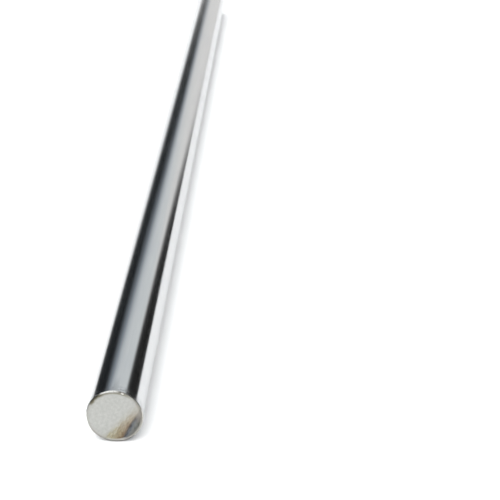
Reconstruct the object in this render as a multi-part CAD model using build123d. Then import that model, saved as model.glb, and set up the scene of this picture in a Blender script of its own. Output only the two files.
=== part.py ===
from build123d import *
import os

# A straight length of bright round steel bar, sawn to length, with its sharp
# edge knocked off by hand at each end. It lies on the floor along Y. The
# origin is on the floor, under the middle of the bar.

# Sizes in millimetres, angles in degrees.
bar_diameter = 16.0
bar_length = 500.0
bevel_widest = 0.5  # ground off each end's edge where the tool bore hardest
bevel_narrowest = 0.16  # ground off straight across from there
widest_at = 110.0  # where the bevels are widest, from +X up towards +Z
ring_clearance = 1.0  # how far the ground-off ring stands out past the bar

bar_radius = bar_diameter / 2
bevel_mean = (bevel_widest + bevel_narrowest) / 2
bevel_shift = (bevel_widest - bevel_narrowest) / 2


def drawn_bar():
    # The full round, square at both ends, resting on z = 0.
    far_end = Plane(origin=(0, bar_length / 2, bar_radius), x_dir=(1, 0, 0), z_dir=(0, -1, 0))
    return extrude(far_end * Circle(bar_radius), bar_length)


def ground_ring():
    # What one 45 degree bevel takes off: a ring of triangular section about Z,
    # with the end face at z = 0 and the bar above it.
    inner = bar_radius - bevel_mean
    outer = bar_radius + ring_clearance
    height = bevel_mean + ring_clearance
    section = Plane.XZ * make_face(Polyline((inner, 0), (outer, 0), (outer, height), close=True))
    return revolve(section, Axis.Z)


def end_bevel(end_y, inward):
    # The ring sits off-centre, so that it bites deeper on one side of the end.
    deeper_side = Vector(1, 0, 0).rotate(Axis.Y, -widest_at)
    centre = Vector(0, end_y, bar_radius) - deeper_side * bevel_shift
    return Plane(origin=centre, x_dir=(1, 0, 0), z_dir=(0, inward, 0)) * ground_ring()


def round_bar():
    bar = drawn_bar()
    bar -= end_bevel(-bar_length / 2, 1)
    bar -= end_bevel(bar_length / 2, -1)
    return bar


os.makedirs("parts", exist_ok=True)
export_step(round_bar(), "parts/round_bar.step")
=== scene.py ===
import math

import bpy
import numpy as np
from mathutils import Matrix, Vector


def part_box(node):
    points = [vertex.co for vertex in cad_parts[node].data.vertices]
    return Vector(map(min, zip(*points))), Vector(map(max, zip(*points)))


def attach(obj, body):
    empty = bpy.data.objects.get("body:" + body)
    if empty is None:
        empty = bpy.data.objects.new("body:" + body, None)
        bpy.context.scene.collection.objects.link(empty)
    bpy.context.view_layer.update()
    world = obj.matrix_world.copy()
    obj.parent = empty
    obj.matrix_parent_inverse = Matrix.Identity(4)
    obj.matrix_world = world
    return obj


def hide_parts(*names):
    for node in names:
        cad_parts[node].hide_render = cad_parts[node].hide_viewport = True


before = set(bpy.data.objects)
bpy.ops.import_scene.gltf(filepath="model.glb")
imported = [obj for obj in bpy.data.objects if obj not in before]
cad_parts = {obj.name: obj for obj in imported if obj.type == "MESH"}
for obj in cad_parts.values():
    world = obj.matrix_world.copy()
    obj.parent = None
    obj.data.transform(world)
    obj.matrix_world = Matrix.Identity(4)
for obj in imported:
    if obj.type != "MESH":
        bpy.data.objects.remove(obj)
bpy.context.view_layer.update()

MM = 0.001
DEG = math.pi / 180

# ---------------------------------------------------------------- the bar's own sizes
low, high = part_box("round_bar")
RADIUS = (high.z - low.z) / 2
AXIS_Z = (high.z + low.z) / 2
NEAR_Y, FAR_Y = low.y, high.y
HALF_LENGTH = (FAR_Y - NEAR_Y) / 2

# Angles round an end are in degrees, from the right (+X) up over the top (+Z).
# The bevel is ground by hand at 45 degrees, so its width changes round the end.
BEVEL_MEAN = 0.23 * MM
BEVEL_SHIFT, SHIFT_AT = 0.06 * MM, 165  # wider by this on one side, narrower opposite
BEVEL_BULGE, BULGE_AT, BULGE_SPREAD = 0.08 * MM, 94, 24  # wider by this at the top
BEVEL_UNDER, UNDER_AT, UNDER_SPREAD = 0.15 * MM, 264, 18  # wider by this underneath
BEVEL_WAVES, BEVEL_TEETH = 0.10, 0.07  # how unsteady it is, as shares of its width

# The grinding marks on a face run steeply up to the right.
BURN_SIDE = -27.5  # straight across the marks, towards the heat-tinted side
RELIEF = 0.02 * MM  # how deep the marks can be
RELIEF_WAVES = 14  # how many waves lie over one another in them
RELIEF_WAY, RELIEF_WAY_SPREAD = -26.6, 6  # where the waves run to, and how far they stray
SHORTEST_WAVE, LONGEST_WAVE = 0.5 * MM, 3.0 * MM
RELIEF_FLATTENED_AT = 4  # their sum, in mm of wave length, is flattened beyond this

# Seeds of the random waves at each end. The bevel's teeth have their own.
NEAR_SEED, FAR_SEED = 11, 12
TEETH_SEED_STEP = 50

# How finely the bar is meshed. The side's rings stand close behind an end, then evenly.
COLUMNS = 400
FACE_RINGS = 40
BEVEL_RINGS = 4
CLOSE_STEPS = [0.6, 0.8, 1.1, 1.5, 2, 2.6, 3.3, 4.2, 5.5, 7, 9, 12]  # mm
FIRST_EVEN_STEP, EVEN_STEP = 16, 6  # mm


# ---------------------------------------------------------------- node helpers
def add(tree, kind, inputs=None, **settings):
    """A node with its settings made and its inputs linked or set."""
    made = tree.nodes.new(kind)
    for name, value in settings.items():
        setattr(made, name, value)
    for name, value in (inputs or {}).items():
        if isinstance(value, bpy.types.NodeSocket):
            tree.links.new(value, made.inputs[name])
        else:
            made.inputs[name].default_value = value
    return made


def calc(tree, operation, a, b=0.0, c=0.0):
    """The result of one operation. A value is a socket or a number, here and in the helpers below."""
    return add(tree, "ShaderNodeMath", {0: a, 1: b, 2: c}, operation=operation).outputs[0]


def plus(tree, a, b):
    return calc(tree, "ADD", a, b)


def minus(tree, a, b):
    return calc(tree, "SUBTRACT", a, b)


def divide(tree, a, b):
    return calc(tree, "DIVIDE", a, b)


def larger(tree, a, b):
    return calc(tree, "MAXIMUM", a, b)


def magnitude(tree, a):
    return calc(tree, "ABSOLUTE", a)


def times(tree, first, *others):
    """The product of all the values."""
    product = first
    for other in others:
        product = calc(tree, "MULTIPLY", product, other)
    return product


def times_plus(tree, a, b, c):
    """a times b, plus c."""
    return calc(tree, "MULTIPLY_ADD", a, b, c)


def ramp(tree, value, start, end, to_start=0.0, to_end=1.0, soft=True):
    """value taken from start..end to to_start..to_end, held outside, and eased at both ends if soft."""
    made = add(
        tree,
        "ShaderNodeMapRange",
        {"Value": value, "From Min": start, "From Max": end, "To Min": to_start, "To Max": to_end},
        interpolation_type="SMOOTHSTEP" if soft else "LINEAR",
        clamp=True,
    )
    return made.outputs["Result"]


def blend(tree, factor, a, b, mode="MIX"):
    """Colour a with colour b mixed into it by factor."""
    made = add(tree, "ShaderNodeMix", data_type="RGBA", blend_type=mode, clamp_factor=True)
    for socket, value in ((made.inputs[0], factor), (made.inputs[6], a), (made.inputs[7], b)):
        if isinstance(value, bpy.types.NodeSocket):
            tree.links.new(value, socket)
        else:
            socket.default_value = value if not isinstance(value, tuple) else (*value, 1.0)
    return made.outputs[2]


def tint_by(tree, factor, a, b):
    """Colour a multiplied by colour b as far as factor says."""
    return blend(tree, factor, a, b, "MULTIPLY")


def colours(tree, value, stops):
    """A colour ramp through (position, colour) stops."""
    made = add(tree, "ShaderNodeValToRGB", {0: value})
    elements = made.color_ramp.elements
    while len(elements) < len(stops):
        elements.new(0.5)
    for element, (position, colour) in zip(elements, stops):
        element.position = position
        element.color = (*colour, 1.0)
    return made.outputs[0]


def noise(tree, vector, scale, detail, roughness):
    """Cloudy noise round 0.5, with scale clouds to one unit of the vector."""
    inputs = {"Vector": vector, "Scale": scale, "Detail": detail, "Roughness": roughness}
    return add(tree, "ShaderNodeTexNoise", inputs).outputs["Fac"]


def along_bar(tree, place, scale):
    """A vector for patterns on the side; a scale under 1 draws them out along the bar."""
    return add(tree, "ShaderNodeMapping", {"Vector": place, "Scale": (1.0, scale, 1.0)}).outputs[0]


def new_metal(name):
    """A metal material, its node tree, its shader and the vector of places on the bar, in metres."""
    made = bpy.data.materials.new(name)
    made.use_nodes = True
    tree = made.node_tree
    tree.nodes.clear()
    shader = add(tree, "ShaderNodeBsdfPrincipled", {"Metallic": 1.0})
    out = add(tree, "ShaderNodeOutputMaterial")
    tree.links.new(shader.outputs[0], out.inputs[0])
    place = add(tree, "ShaderNodeTexCoord").outputs["Object"]
    return made, tree, shader, place


def plug(tree, shader, name, value):
    """Links a value to one of the shader's inputs."""
    tree.links.new(value, shader.inputs[name])


def grain_by(tree, shader, height, strength):
    """Gives the shader a fine relief of at most 0.02 mm."""
    inputs = {"Height": height, "Strength": strength, "Distance": 0.02 * MM}
    plug(tree, shader, "Normal", add(tree, "ShaderNodeBump", inputs).outputs[0])


# ---------------------------------------------------------------- places on the bar's end
class EndPlace:
    """Where a point of an end lies, in radii from the axis. near is 1 at the near end, 0 at the far one."""

    def __init__(self, tree, place):
        x, y, z = add(tree, "ShaderNodeSeparateXYZ", {0: place}).outputs
        self.tree = tree
        self.right = divide(tree, x, RADIUS)
        self.up = divide(tree, minus(tree, z, AXIS_Z), RADIUS)
        squares = plus(tree, times(tree, self.right, self.right), times(tree, self.up, self.up))
        self.out = calc(tree, "SQRT", squares)
        self.near = calc(tree, "LESS_THAN", y, 0.0)

    def towards(self, angle):
        """How far the point lies towards an angle."""
        rise = times(self.tree, self.up, math.sin(angle * DEG))
        return times_plus(self.tree, self.right, math.cos(angle * DEG), rise)

    def sector(self, angle, full, none):
        """1 within full degrees either side of an angle, and 0 beyond none degrees."""
        ahead = divide(self.tree, self.towards(angle), self.out)
        return ramp(self.tree, ahead, math.cos(none * DEG), math.cos(full * DEG))

    def slanting(self, scale):
        """A vector for patterns that are drawn out along the grinding marks and differ at each end."""
        across, along = self.towards(BURN_SIDE), self.towards(BURN_SIDE + 90)
        parts = {0: across, 1: times(self.tree, along, scale), 2: self.near}
        return add(self.tree, "ShaderNodeCombineXYZ", parts).outputs[0]


# ---------------------------------------------------------------- the bright side
def drawn_steel():
    """The bright side: nearly a mirror, with faint lines along it, a fine grain and smudges by the ends."""
    made, tree, shader, place = new_metal("drawn_steel")
    lines = noise(tree, along_bar(tree, place, 0.02), scale=2600, detail=3, roughness=0.6)
    clouds = noise(tree, along_bar(tree, place, 0.25), scale=130, detail=3, roughness=0.55)
    grain = noise(tree, along_bar(tree, place, 0.4), scale=4200, detail=2, roughness=0.6)
    patchy = noise(tree, along_bar(tree, place, 1.4), scale=900, detail=4, roughness=0.6)

    tone = ramp(tree, lines, 0.3, 0.7, soft=False)
    colour = blend(tree, tone, (0.545, 0.550, 0.553), (0.580, 0.585, 0.587))
    colour = blend(tree, ramp(tree, clouds, 0.45, 0.8, 0, 0.5), colour, (0.52, 0.53, 0.55))

    # Smudges lie in patches right behind an end, and a stain runs on further along the top.
    x, y, _ = add(tree, "ShaderNodeSeparateXYZ", {0: place}).outputs
    from_end = minus(tree, HALF_LENGTH, magnitude(tree, y))
    smudge = ramp(tree, from_end, 4.5 * MM, 0.4 * MM)
    smudge = times(tree, smudge, ramp(tree, patchy, 0.42, 0.60))
    from_stain = magnitude(tree, minus(tree, x, 0.4 * MM))
    stain = ramp(tree, from_stain, 1.4 * MM, 0.2 * MM)
    stain = times(tree, stain, ramp(tree, from_end, 10.0 * MM, 0.0, 0.0, 0.8), 0.8)
    smudge = larger(tree, smudge, stain)
    colour = blend(tree, times(tree, smudge, 0.6), colour, (0.30, 0.30, 0.32))
    plug(tree, shader, "Base Color", colour)
    shader.inputs["Specular Tint"].default_value = (0.78, 0.78, 0.78, 1)

    rough = times_plus(tree, lines, 0.05, 0.085)
    rough = times_plus(tree, clouds, 0.05, rough)
    rough = times_plus(tree, smudge, 0.15, rough)
    plug(tree, shader, "Roughness", rough)
    grain_by(tree, shader, times_plus(tree, grain, 0.5, times(tree, lines, 0.5)), 0.10)
    return made


# ---------------------------------------------------------------- the ground face
BARE_METAL = (0.475, 0.477, 0.455)
STRAW_STOPS = [
    (0.12, (1.0, 1.0, 1.0)),
    (0.30, (0.92, 0.88, 0.79)),
    (0.44, (0.80, 0.725, 0.61)),
    (0.57, (0.65, 0.53, 0.43)),
    (0.68, (0.48, 0.36, 0.31)),
]
SCALE_STOPS = [
    (0.61, (0.26, 0.20, 0.16)),
    (0.65, (0.17, 0.15, 0.15)),
    (0.69, (0.20, 0.21, 0.26)),
    (0.75, (0.33, 0.35, 0.38)),
    (0.80, (0.36, 0.37, 0.36)),
    (0.86, (0.24, 0.24, 0.22)),
]

# Marks and painted shade at the rim of a face. Each has how far out it starts and is full, the angle
# that it lies at with the degrees on either side where it is full and where it is
# gone, then its strength and its colour.
SMOOTH_MARKS_AND_SHADE = [
    ((0.905, 0.935), (-45, 35, 55), 0.30, (0.60, 0.60, 0.56)),  # bare metal beyond the scale
    ((0.865, 0.90), (-88, 12, 26), 0.75, (0.60, 0.585, 0.55)),  # bare metal at the bottom
    ((0.885, 0.945), (248, 26, 44), 0.6, (0.30, 0.29, 0.265)),  # painted shade towards the ground
]
RAGGED_MARKS_AND_SHADE = [
    ((0.85, 0.91), (98, 30, 55), 0.62, (0.20, 0.185, 0.135)),  # burnt brown under the wide bevel
    ((0.89, 0.95), (18, 20, 34), 0.5, (0.22, 0.21, 0.19)),  # painted shade on the right
    ((0.84, 0.93), (143, 3, 9), 0.75, (0.16, 0.14, 0.09)),  # a blot at the upper left
    ((0.90, 0.94), (129, 8, 22), 0.85, (0.11, 0.10, 0.07)),  # scorched between the two
]


def marked_and_shaded(tree, spot, out, colour, marks):
    """colour with the marks and the painted shade over it. out is how far out a point counts as, in radii.
    """
    for (start, full_out), (angle, full, none), strength, paint in marks:
        share = times(tree, ramp(tree, out, start, full_out), spot.sector(angle, full, none), strength)
        colour = blend(tree, share, colour, paint)
    return colour


def straw_tint(tree, across, along, shaken, streaks):
    """What the heat tint multiplies the metal by: straw turning to brown towards the burnt side."""
    # It is warmer across the marks and down along them, and a little more low on the left.
    warmth = times_plus(tree, larger(tree, along, -0.42), -0.30, minus(tree, shaken, 0.07))
    low_left = times(tree, ramp(tree, along, -0.50, -0.80), ramp(tree, across, 0.34, 0.14))
    warmth = times_plus(tree, low_left, 0.13, warmth)
    straw = colours(tree, warmth, STRAW_STOPS)
    golden = tint_by(tree, 1.0, straw, (1.0, 1.0, 0.91))
    lower = times(tree, ramp(tree, along, -0.15, -0.50), ramp(tree, warmth, 0.18, 0.36))
    straw = blend(tree, lower, straw, golden)

    # Broad streaks and finer speckles lie in it where it is warm.
    warm = times(tree, ramp(tree, warmth, 0.16, 0.42), ramp(tree, along, 0.5, 0.1))
    broad = ramp(tree, noise(tree, streaks, scale=16, detail=4, roughness=0.65), 0.38, 0.62)
    streak = blend(tree, broad, (1.08, 1.08, 1.07), (0.82, 0.78, 0.73))
    straw = blend(tree, warm, straw, tint_by(tree, 1.0, straw, streak))
    finer = ramp(tree, noise(tree, streaks, scale=31, detail=3, roughness=0.7), 0.40, 0.60)
    speckle = blend(tree, finer, (1.10, 1.09, 1.05), (0.87, 0.86, 0.86))
    return blend(tree, warm, straw, tint_by(tree, 1.0, straw, speckle))


def scale_colour(tree, line, streaks):
    """The scale beyond the sharp line: brown, then blue-grey, with pale and dark streaks."""
    scale = colours(tree, line, SCALE_STOPS)
    pale = ramp(tree, noise(tree, streaks, scale=19, detail=4, roughness=0.7), 0.40, 0.60)
    scale = blend(tree, times(tree, pale, 0.42), scale, (0.46, 0.47, 0.48))
    dark = ramp(tree, noise(tree, streaks, scale=23, detail=4, roughness=0.7), 0.42, 0.34)
    scale = blend(tree, times(tree, dark, 0.6), scale, (0.10, 0.10, 0.11))
    return tint_by(tree, 1.0, BARE_METAL, scale)


def heat_tinted(tree, spot, colour, marks, fine):
    """colour with the near end's heat tint: straw and brown up to a sharp line, and scale beyond it."""
    across, along = spot.towards(BURN_SIDE), spot.towards(BURN_SIDE + 90)

    # The tint thins out near the rim, and reaches further out towards the upper right.
    further_out = ramp(tree, along, -0.1, 0.3, 0.0, 0.06)
    inside = ramp(tree, minus(tree, spot.out, further_out), 0.955, 0.87, 0.25, 1.0)
    tinted = times(tree, spot.near, inside)
    streaks = spot.slanting(0.3)

    # Its straw colours follow how far across a point lies, shaken by the marks.
    shaken = times_plus(tree, minus(tree, marks, 0.5), 0.17, across)
    shaken = times_plus(tree, minus(tree, fine, 0.5), 0.07, shaken)
    straw_share = times(tree, ramp(tree, along, -0.05, 0.70, 1.0, 0.55), tinted)
    colour = tint_by(tree, straw_share, colour, straw_tint(tree, across, along, shaken, streaks))

    # The line runs nearly along the marks, and they make it slightly uneven.
    line = times_plus(tree, larger(tree, along, 0.0), -0.065, across)
    line = times_plus(tree, minus(tree, marks, 0.5), 0.03, line)
    scale_share = times(tree, ramp(tree, line, 0.590, 0.640), ramp(tree, along, 0.0, 0.55, 1.0, 0.30))
    scale_share = times(tree, scale_share, tinted)
    return blend(tree, scale_share, colour, scale_colour(tree, line, streaks))


def ground_face():
    """The sawn and ground end: pale and matt, with fine slanting marks, a heat-tinted corner and painted
    shade at the rim.
    """
    made, tree, shader, place = new_metal("ground_face")
    spot = EndPlace(tree, place)
    grid = spot.slanting(0.14)
    marks = ramp(tree, noise(tree, grid, scale=11, detail=3, roughness=0.65), 0.30, 0.70, soft=False)
    fine = ramp(tree, noise(tree, grid, scale=34, detail=2, roughness=0.6), 0.30, 0.70, soft=False)
    mottle = noise(tree, place, scale=1100, detail=5, roughness=0.65)

    # The bare metal is duller at the rim and a little darker towards the burnt side.
    colour = blend(tree, ramp(tree, mottle, 0.3, 0.7), (0.427, 0.428, 0.407), (0.510, 0.511, 0.487))
    colour = blend(tree, times(tree, fine, 0.18), colour, (0.35, 0.35, 0.33))
    colour = blend(tree, ramp(tree, spot.out, 0.86, 0.94, 0, 0.36), colour, (0.29, 0.28, 0.24))
    colour = tint_by(tree, ramp(tree, spot.towards(BURN_SIDE), 0.1, 0.6), colour, (0.93, 0.92, 0.92))

    colour = heat_tinted(tree, spot, colour, marks, fine)
    ragged = times_plus(tree, minus(tree, mottle, 0.5), 0.14, spot.out)
    # Painted shade at the rim sits among these marks, at the bottom left and on the right.
    colour = marked_and_shaded(tree, spot, spot.out, colour, SMOOTH_MARKS_AND_SHADE)
    colour = marked_and_shaded(tree, spot, ragged, colour, RAGGED_MARKS_AND_SHADE)

    # Dark chips and one bright burr sit on the near end's rim, right of the top.
    chipped = ramp(tree, noise(tree, place, scale=4200, detail=2, roughness=0.5), 0.5, 0.6, 0.0, 0.7)
    chips = times(tree, ramp(tree, ragged, 0.86, 0.92), spot.sector(74, 4, 9), chipped, spot.near)
    colour = blend(tree, chips, colour, (0.09, 0.08, 0.07))
    burr = times(tree, ramp(tree, ragged, 0.925, 0.945), spot.sector(70.5, 1.6, 4.2), spot.near)
    colour = blend(tree, burr, colour, (0.78, 0.77, 0.72))
    plug(tree, shader, "Base Color", colour)
    shader.inputs["Roughness"].default_value = 0.5
    grain_by(tree, shader, times_plus(tree, fine, 0.5, times(tree, marks, 0.5)), 0.3)
    return made


# ---------------------------------------------------------------- the bevel
# Painted highlights, reflections and shade on the bevel, and one scorch. Each patch has the angle that
# it lies at with the degrees on either side where it is full and where it is gone, then its strength and
# its colour.
BEVEL_SHEEN_AND_SHADE = [
    ((99, 11, 22), 1.0, (0.85, 0.84, 0.81)),  # painted highlight at the top
    ((198, 44, 56), 1.0, (0.90, 0.89, 0.87)),  # painted reflection all down the left
    ((133, 8, 16), 0.85, (0.11, 0.10, 0.07)),  # painted dark reflection between the two, with a brown scorch
    ((40, 20, 28), 0.75, (0.20, 0.20, 0.19)),  # painted dark reflection at the upper right
    ((277, 25, 38), 0.9, (0.04, 0.038, 0.034)),  # painted shade underneath, next to the ground
]


def ground_edge():
    """The bevel: pitted ground metal, with painted highlights at the top and down the left, painted dark
    reflections and painted shade round the rest, and a brown scorch.
    """
    made, tree, shader, place = new_metal("ground_edge")
    spot = EndPlace(tree, place)
    pits = noise(tree, place, scale=3200, detail=4, roughness=0.7)
    colour = (0.52, 0.51, 0.47)
    # The patches paint highlights, dark reflections and shade onto the bevel.
    for (angle, full, none), strength, paint in BEVEL_SHEEN_AND_SHADE:
        colour = blend(tree, times(tree, spot.sector(angle, full, none), strength), colour, paint)
    colour = blend(tree, ramp(tree, pits, 0.50, 0.66, 0, 0.75), colour, (0.20, 0.17, 0.13))
    burr = times(tree, spot.near, spot.sector(76, 1.2, 3), 0.45)
    colour = blend(tree, burr, colour, (0.06, 0.05, 0.04))
    plug(tree, shader, "Base Color", colour)
    shader.inputs["Specular Tint"].default_value = (0.4, 0.4, 0.4, 1)
    plug(tree, shader, "Roughness", ramp(tree, pits, 0.35, 0.65, 0.26, 0.50))
    return made


# ---------------------------------------------------------------- the bar's shape
def wavy(angle, seed, fewest, most, fall):
    """A smooth random wave round the rim, about -1 to 1: fewest to most waves a turn, weaker by fall."""
    random = np.random.RandomState(seed)
    total = np.zeros_like(angle)
    power = 0.0
    for count in range(fewest, most + 1):
        size = count**-fall
        total += size * np.cos(count * angle + random.uniform(0, 2 * math.pi))
        power += size * size / 2
    return total / math.sqrt(power) / 2


def bevel_width(angle, seed):
    """How wide the bevel is at each angle."""
    degrees = angle / DEG
    width = BEVEL_MEAN + BEVEL_SHIFT * np.cos((degrees - SHIFT_AT) * DEG)
    width = width + BEVEL_BULGE * np.exp(-(((degrees - BULGE_AT) / BULGE_SPREAD) ** 2))
    width = width + BEVEL_UNDER * np.exp(-(((degrees - UNDER_AT) / UNDER_SPREAD) ** 2))
    waves = BEVEL_WAVES * wavy(angle, seed, fewest=3, most=14, fall=0.8)
    teeth = BEVEL_TEETH * wavy(angle, seed + TEETH_SEED_STEP, fewest=30, most=90, fall=0.3)
    return width * (1 + waves + teeth)


def ground_relief(x, z, seed):
    """How deep the grinding marks lie below the end's highest point: shallow waves across the slant."""
    random = np.random.RandomState(seed)
    total = np.zeros_like(x)
    for _ in range(RELIEF_WAVES):
        way = (RELIEF_WAY + random.normal(0, RELIEF_WAY_SPREAD)) * DEG
        length = random.uniform(SHORTEST_WAVE, LONGEST_WAVE)
        place = (x * math.cos(way) + z * math.sin(way)) / length * 2 * math.pi
        total += np.sin(place + random.uniform(0, 2 * math.pi)) * length / MM
    return RELIEF * (1 + np.tanh(total / RELIEF_FLATTENED_AT)) / 2


def end_rings(angle, seed):
    """(radius, depth behind the end) for each ring of an end, from the face's middle out to the side."""
    width = bevel_width(angle, seed)
    inner = RADIUS - width
    rings = []
    for k in range(1, FACE_RINGS + 1):
        share = k / FACE_RINGS
        radius = inner * share
        relief = ground_relief(radius * np.cos(angle), radius * np.sin(angle), seed)
        fade_at_rim = 1 - share**8
        rings.append((radius, relief * fade_at_rim))
    for k in range(1, BEVEL_RINGS + 1):
        share = k / BEVEL_RINGS
        rings.append((inner + width * share, width * share))
    return rings


def bar_points():
    """The bar's points: the near face's middle, ring after ring, and the far face's middle."""
    angle = np.arange(COLUMNS) * 2 * math.pi / COLUMNS
    near_rings, far_rings = end_rings(angle, NEAR_SEED), end_rings(angle, FAR_SEED)
    steps = CLOSE_STEPS + list(range(FIRST_EVEN_STEP, round(HALF_LENGTH / MM), EVEN_STEP))
    side = [NEAR_Y + step * MM for step in steps] + [FAR_Y - step * MM for step in reversed(steps)]
    rings = [(radius, NEAR_Y + depth) for radius, depth in near_rings]
    rings += [(np.full_like(angle, RADIUS), np.full_like(angle, y)) for y in side]
    rings += [(radius, FAR_Y - depth) for radius, depth in reversed(far_rings)]

    points = [np.array([[0.0, NEAR_Y + near_rings[0][1].mean(), AXIS_Z]])]
    for radius, y in rings:
        points.append(np.stack([radius * np.cos(angle), y, AXIS_Z + radius * np.sin(angle)], axis=1))
    points.append(np.array([[0.0, FAR_Y - far_rings[0][1].mean(), AXIS_Z]]))
    return np.concatenate(points)


# The rings, counted from an end's innermost, where its face and its bevel stop.
FACE_STOP = FACE_RINGS - 1
BEVEL_STOP = FACE_RINGS + BEVEL_RINGS - 1
MATERIALS = [drawn_steel, ground_face, ground_edge]


def material_at(band, last):
    """Which of the materials lies between ring number band and the next, if last is the last ring."""
    from_end = min(band, last - 1 - band)
    if from_end < FACE_STOP:
        return MATERIALS.index(ground_face)
    if from_end < BEVEL_STOP:
        return MATERIALS.index(ground_edge)
    return MATERIALS.index(drawn_steel)


def sharpen(mesh, sharp_rings):
    """Marks the edges that run along the given rings as sharp."""
    ends = np.empty(len(mesh.edges) * 2, np.int64)
    mesh.edges.foreach_get("vertices", ends)
    ring = (ends.reshape(-1, 2) - 1) // COLUMNS
    sharp = np.zeros(len(mesh.edges), bool)
    for number in sharp_rings:
        sharp |= (ring[:, 0] == number) & (ring[:, 1] == number)
    mesh.attributes.new("sharp_edge", "BOOLEAN", "EDGE").data.foreach_set("value", sharp)


def make_bar():
    """One closed mesh: a fan at each end, and bands of four-sided faces from ring to ring between them."""
    points = bar_points()
    fan_middles = 2
    last = (len(points) - fan_middles) // COLUMNS - 1
    pairs = [(a, (a + 1) % COLUMNS) for a in range(COLUMNS)]
    faces = [(0, 1 + a, 1 + b) for a, b in pairs]
    for band in range(last):
        first, second = 1 + band * COLUMNS, 1 + (band + 1) * COLUMNS
        faces += [(first + a, second + a, second + b, first + b) for a, b in pairs]
    first, tip = 1 + last * COLUMNS, len(points) - 1
    faces += [(first + a, tip, first + b) for a, b in pairs]
    fan = MATERIALS.index(ground_face)
    slots = np.repeat([fan, *(material_at(band, last) for band in range(last)), fan], COLUMNS)

    mesh = bpy.data.meshes.new("bar")
    mesh.from_pydata(points.tolist(), [], faces)
    for build in MATERIALS:
        mesh.materials.append(build())
    mesh.polygons.foreach_set("material_index", slots.tolist())
    mesh.polygons.foreach_set("use_smooth", [True] * len(faces))
    mesh.update()
    sharpen(mesh, (FACE_STOP, BEVEL_STOP, last - FACE_STOP, last - BEVEL_STOP))
    bar = bpy.data.objects.new("bar", mesh)
    bpy.context.scene.collection.objects.link(bar)
    return bar


bar = make_bar()
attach(bar, "root")
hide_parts("round_bar")


# ---------------------------------------------------------------- floor
def make_floor():
    """A big sheet of white paper, turned a little, whose left edge is a short way from the bar."""
    turn = 10.8 * DEG
    left_gap, width, length = 34 * MM, 2.0, 2.4
    along = Vector((-math.sin(turn), math.cos(turn), 0)) * length
    across = Vector((math.cos(turn), math.sin(turn), 0)) * width
    start = Vector((-left_gap, NEAR_Y, 0)) - along / 2
    corners = [start, start + across, start + across + along, start + along]
    mesh = bpy.data.meshes.new("floor")
    mesh.from_pydata([tuple(c) for c in corners], [], [(0, 1, 2, 3)])
    floor = bpy.data.objects.new("floor", mesh)
    bpy.context.scene.collection.objects.link(floor)
    paper = bpy.data.materials.new("paper")
    paper.use_nodes = True
    shader = paper.node_tree.nodes["Principled BSDF"]
    shader.inputs["Base Color"].default_value = (0.9, 0.9, 0.9, 1)
    shader.inputs["Roughness"].default_value = 1.0
    shader.inputs["Specular IOR Level"].default_value = 0.0
    mesh.materials.append(paper)


# ---------------------------------------------------------------- the studio that the steel mirrors
# For a direction, side is how many degrees it lies to the right of +Y, and rise
# how many it lies above the floor. What ends in _light gives the light from there.
def panel_share(tree, side, rise):
    """0 left of the big panel to 1 on it. Higher up its left side is softer and stands further over."""
    above = larger(tree, minus(tree, rise, 17.8), 0.0)
    foot = ramp(tree, rise, 21.0, 17.5)
    middle = times_plus(tree, times(tree, above, above), -0.145, -2.25)
    middle = times_plus(tree, foot, 0.35, middle)
    reach = times_plus(tree, above, 0.75, 8.0)
    reach = times_plus(tree, foot, -1.5, reach)
    return ramp(tree, divide(tree, minus(tree, side, middle), reach), -1.0, 1.0)


def panel_light(tree, side, rise, panel, beside):
    """The big panel beyond the bar, with some light spilled to its left."""
    spill = ramp(tree, rise, 15.5, 24.5, 0.0, 0.38, soft=False)
    spill = times(tree, spill, ramp(tree, side, -29.0, -17.0), beside)
    right_side = ramp(tree, side, 20.6, 17.4)
    top = ramp(tree, rise, 60.0, 36.0)
    fade = ramp(tree, rise, 12.0, 29.0, 0.90, 0.77, soft=False)
    return times(tree, plus(tree, panel, spill), right_side, top, fade)


def backdrop_light(tree, side, rise):
    """A lit backdrop low on the left, whose top slopes down away from the panel."""
    off = plus(tree, side, 13.0)
    top = times_plus(tree, times(tree, off, off), -0.056, 4.5)
    return ramp(tree, minus(tree, top, rise), -3.4, 4.0, 0.0, 1.5)


def table_light(tree, side, rise, beside):
    """The far end of the table, which shines low down beside the panel, more so towards the horizon."""
    off = plus(tree, side, 1.0)
    top = times_plus(tree, times(tree, off, off), -0.047, 13.9)
    depth = calc(tree, "MINIMUM", larger(tree, minus(tree, top, rise), 0.0), 2.4)
    left_side = ramp(tree, side, -14.5, -10.0, 0.0, 0.165)
    return times(tree, depth, depth, left_side, beside, ramp(tree, side, 12.0, 6.0))


def room_light(tree, y, side, rise):
    """The near side of the room: pale low down, with a panel standing in the middle of it."""
    pale = times(tree, ramp(tree, y, -0.05, -0.35, 0.0, 0.3), ramp(tree, rise, 20.0, 8.0))
    middle = ramp(tree, magnitude(tree, side), 167.0, 172.0)
    return larger(tree, pale, times(tree, middle, ramp(tree, rise, 48.0, 34.0), 0.75))


def overhead_light(tree, x, y, z):
    """A panel that hangs overhead; its edges are counted in its own height above the bar."""
    height = larger(tree, z, 0.02)  # held above 0, to divide by
    right, ahead = divide(tree, x, height), divide(tree, y, height)
    length = times(tree, ramp(tree, ahead, -0.82, -0.70), ramp(tree, ahead, 0.90, 0.72))
    return times(tree, length, ramp(tree, magnitude(tree, right), 1.10, 0.90, 0.0, 0.8))


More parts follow.
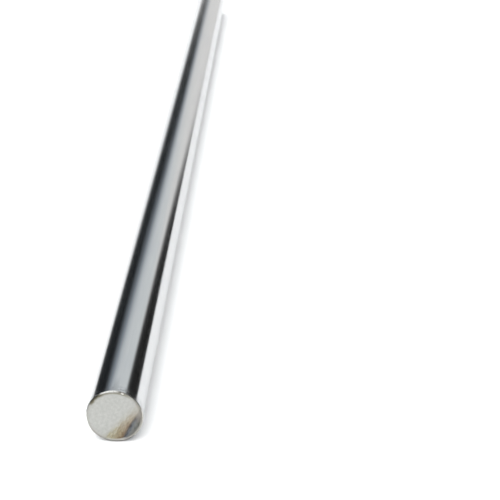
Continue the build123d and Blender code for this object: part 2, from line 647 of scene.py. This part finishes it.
def make_world():
    """A dark studio with its panels, as the steel mirrors it; the camera itself sees plain white."""
    world = bpy.data.worlds.new("studio")
    bpy.context.scene.world = world
    world.use_nodes = True
    tree = world.node_tree
    tree.nodes.clear()
    way = add(tree, "ShaderNodeTexCoord").outputs["Generated"]
    x, y, z = add(tree, "ShaderNodeSeparateXYZ", {0: way}).outputs
    side = divide(tree, calc(tree, "ARCTAN2", x, y), DEG)
    rise = divide(tree, calc(tree, "ARCSINE", z), DEG)

    on_panel = panel_share(tree, side, rise)
    beside = minus(tree, 1.0, on_panel)
    panel = panel_light(tree, side, rise, on_panel, beside)
    backdrop = backdrop_light(tree, side, rise)
    table = table_light(tree, side, rise, beside)
    room = larger(tree, room_light(tree, y, side, rise), overhead_light(tree, x, y, z))
    brightness, darkness = 1.1, 0.018
    dim = plus(tree, plus(tree, room, table), darkness)
    strength = times_plus(tree, larger(tree, panel, backdrop), brightness, dim)

    # The panel turns from warm at its foot to bluish, its spill is bluer, and the rest nearly neutral.
    panel_tint = blend(tree, ramp(tree, rise, 14.0, 21.0), (1.17, 1.16, 1.15), (1.03, 1.08, 1.10))
    tint = blend(tree, on_panel, (0.94, 1.07, 1.22), panel_tint)
    tint = blend(tree, ramp(tree, backdrop, 0.0, 0.4), tint, (1.06, 1.08, 1.09))
    tint = blend(tree, ramp(tree, table, 0.0, 0.12), tint, (1.06, 1.06, 1.06))
    tint = blend(tree, ramp(tree, y, 0.05, -0.05), tint, (0.97, 1.0, 1.03))
    lit = add(tree, "ShaderNodeBackground", {"Color": tint, "Strength": strength})
    plain = add(tree, "ShaderNodeBackground", {"Color": (1, 1, 1, 1), "Strength": 1.0})
    seen = add(tree, "ShaderNodeLightPath").outputs["Is Camera Ray"]
    mix = add(tree, "ShaderNodeMixShader", {0: seen, 1: lit.outputs[0], 2: plain.outputs[0]})
    out = add(tree, "ShaderNodeOutputWorld")
    tree.links.new(mix.outputs[0], out.inputs[0])


# ---------------------------------------------------------------- lamps
# Each has its name, place, size in metres, power in watts and whether metal mirrors it.
SOFTBOXES = [
    ("key", (-0.95, -1.25, 2.3), 2.2, 9, True),
    ("ceiling", (0, 0, 3.0), 6.0, 132, False),
    ("front", (-0.3, -2.0, 1.4), 2.2, 42, False),
    ("left", (-2.2, -0.3, 0.9), 1.4, 20, False),
    ("back", (-0.3, 2.4, 1.0), 1.6, 16, False),
]


def make_softbox(name, place, size, power, mirrored):
    """A square lamp that is turned to the floor under the middle of the bar."""
    light = bpy.data.lights.new(name, "AREA")
    light.shape = "SQUARE"
    light.size = size
    light.energy = power
    lamp = bpy.data.objects.new(name, light)
    lamp.location = place
    lamp.rotation_euler = (Vector((0, 0, 0)) - Vector(place)).to_track_quat("-Z", "Y").to_euler()
    lamp.visible_glossy = mirrored
    bpy.context.scene.collection.objects.link(lamp)


make_floor()
make_world()
for softbox in SOFTBOXES:
    make_softbox(*softbox)


# ---------------------------------------------------------------- camera
def make_camera():
    """The camera stands before the near end, right of the bar, and looks down along it."""
    place = (0.0501, -0.6050, 0.2077)
    yaw, pitch, roll = -1.930 * DEG, 22.82 * DEG, -0.605 * DEG
    sensor_width, focal_length = 36, 105.39  # mm
    ahead = Vector((math.sin(yaw) * math.cos(pitch), math.cos(yaw) * math.cos(pitch), -math.sin(pitch)))
    level = Vector((math.cos(yaw), -math.sin(yaw), 0))
    upright = level.cross(ahead)
    right = math.cos(roll) * level + math.sin(roll) * upright
    up = -math.sin(roll) * level + math.cos(roll) * upright
    turned = Matrix((right, up, -ahead)).transposed().to_4x4()

    lens = bpy.data.cameras.new("camera")
    lens.sensor_width = sensor_width
    lens.lens = focal_length
    lens.clip_start, lens.clip_end = 0.01, 100
    camera = bpy.data.objects.new("camera", lens)
    camera.matrix_world = Matrix.Translation(place) @ turned
    bpy.context.scene.collection.objects.link(camera)
    bpy.context.scene.camera = camera


make_camera()
bpy.context.scene.view_settings.view_transform = "Standard"
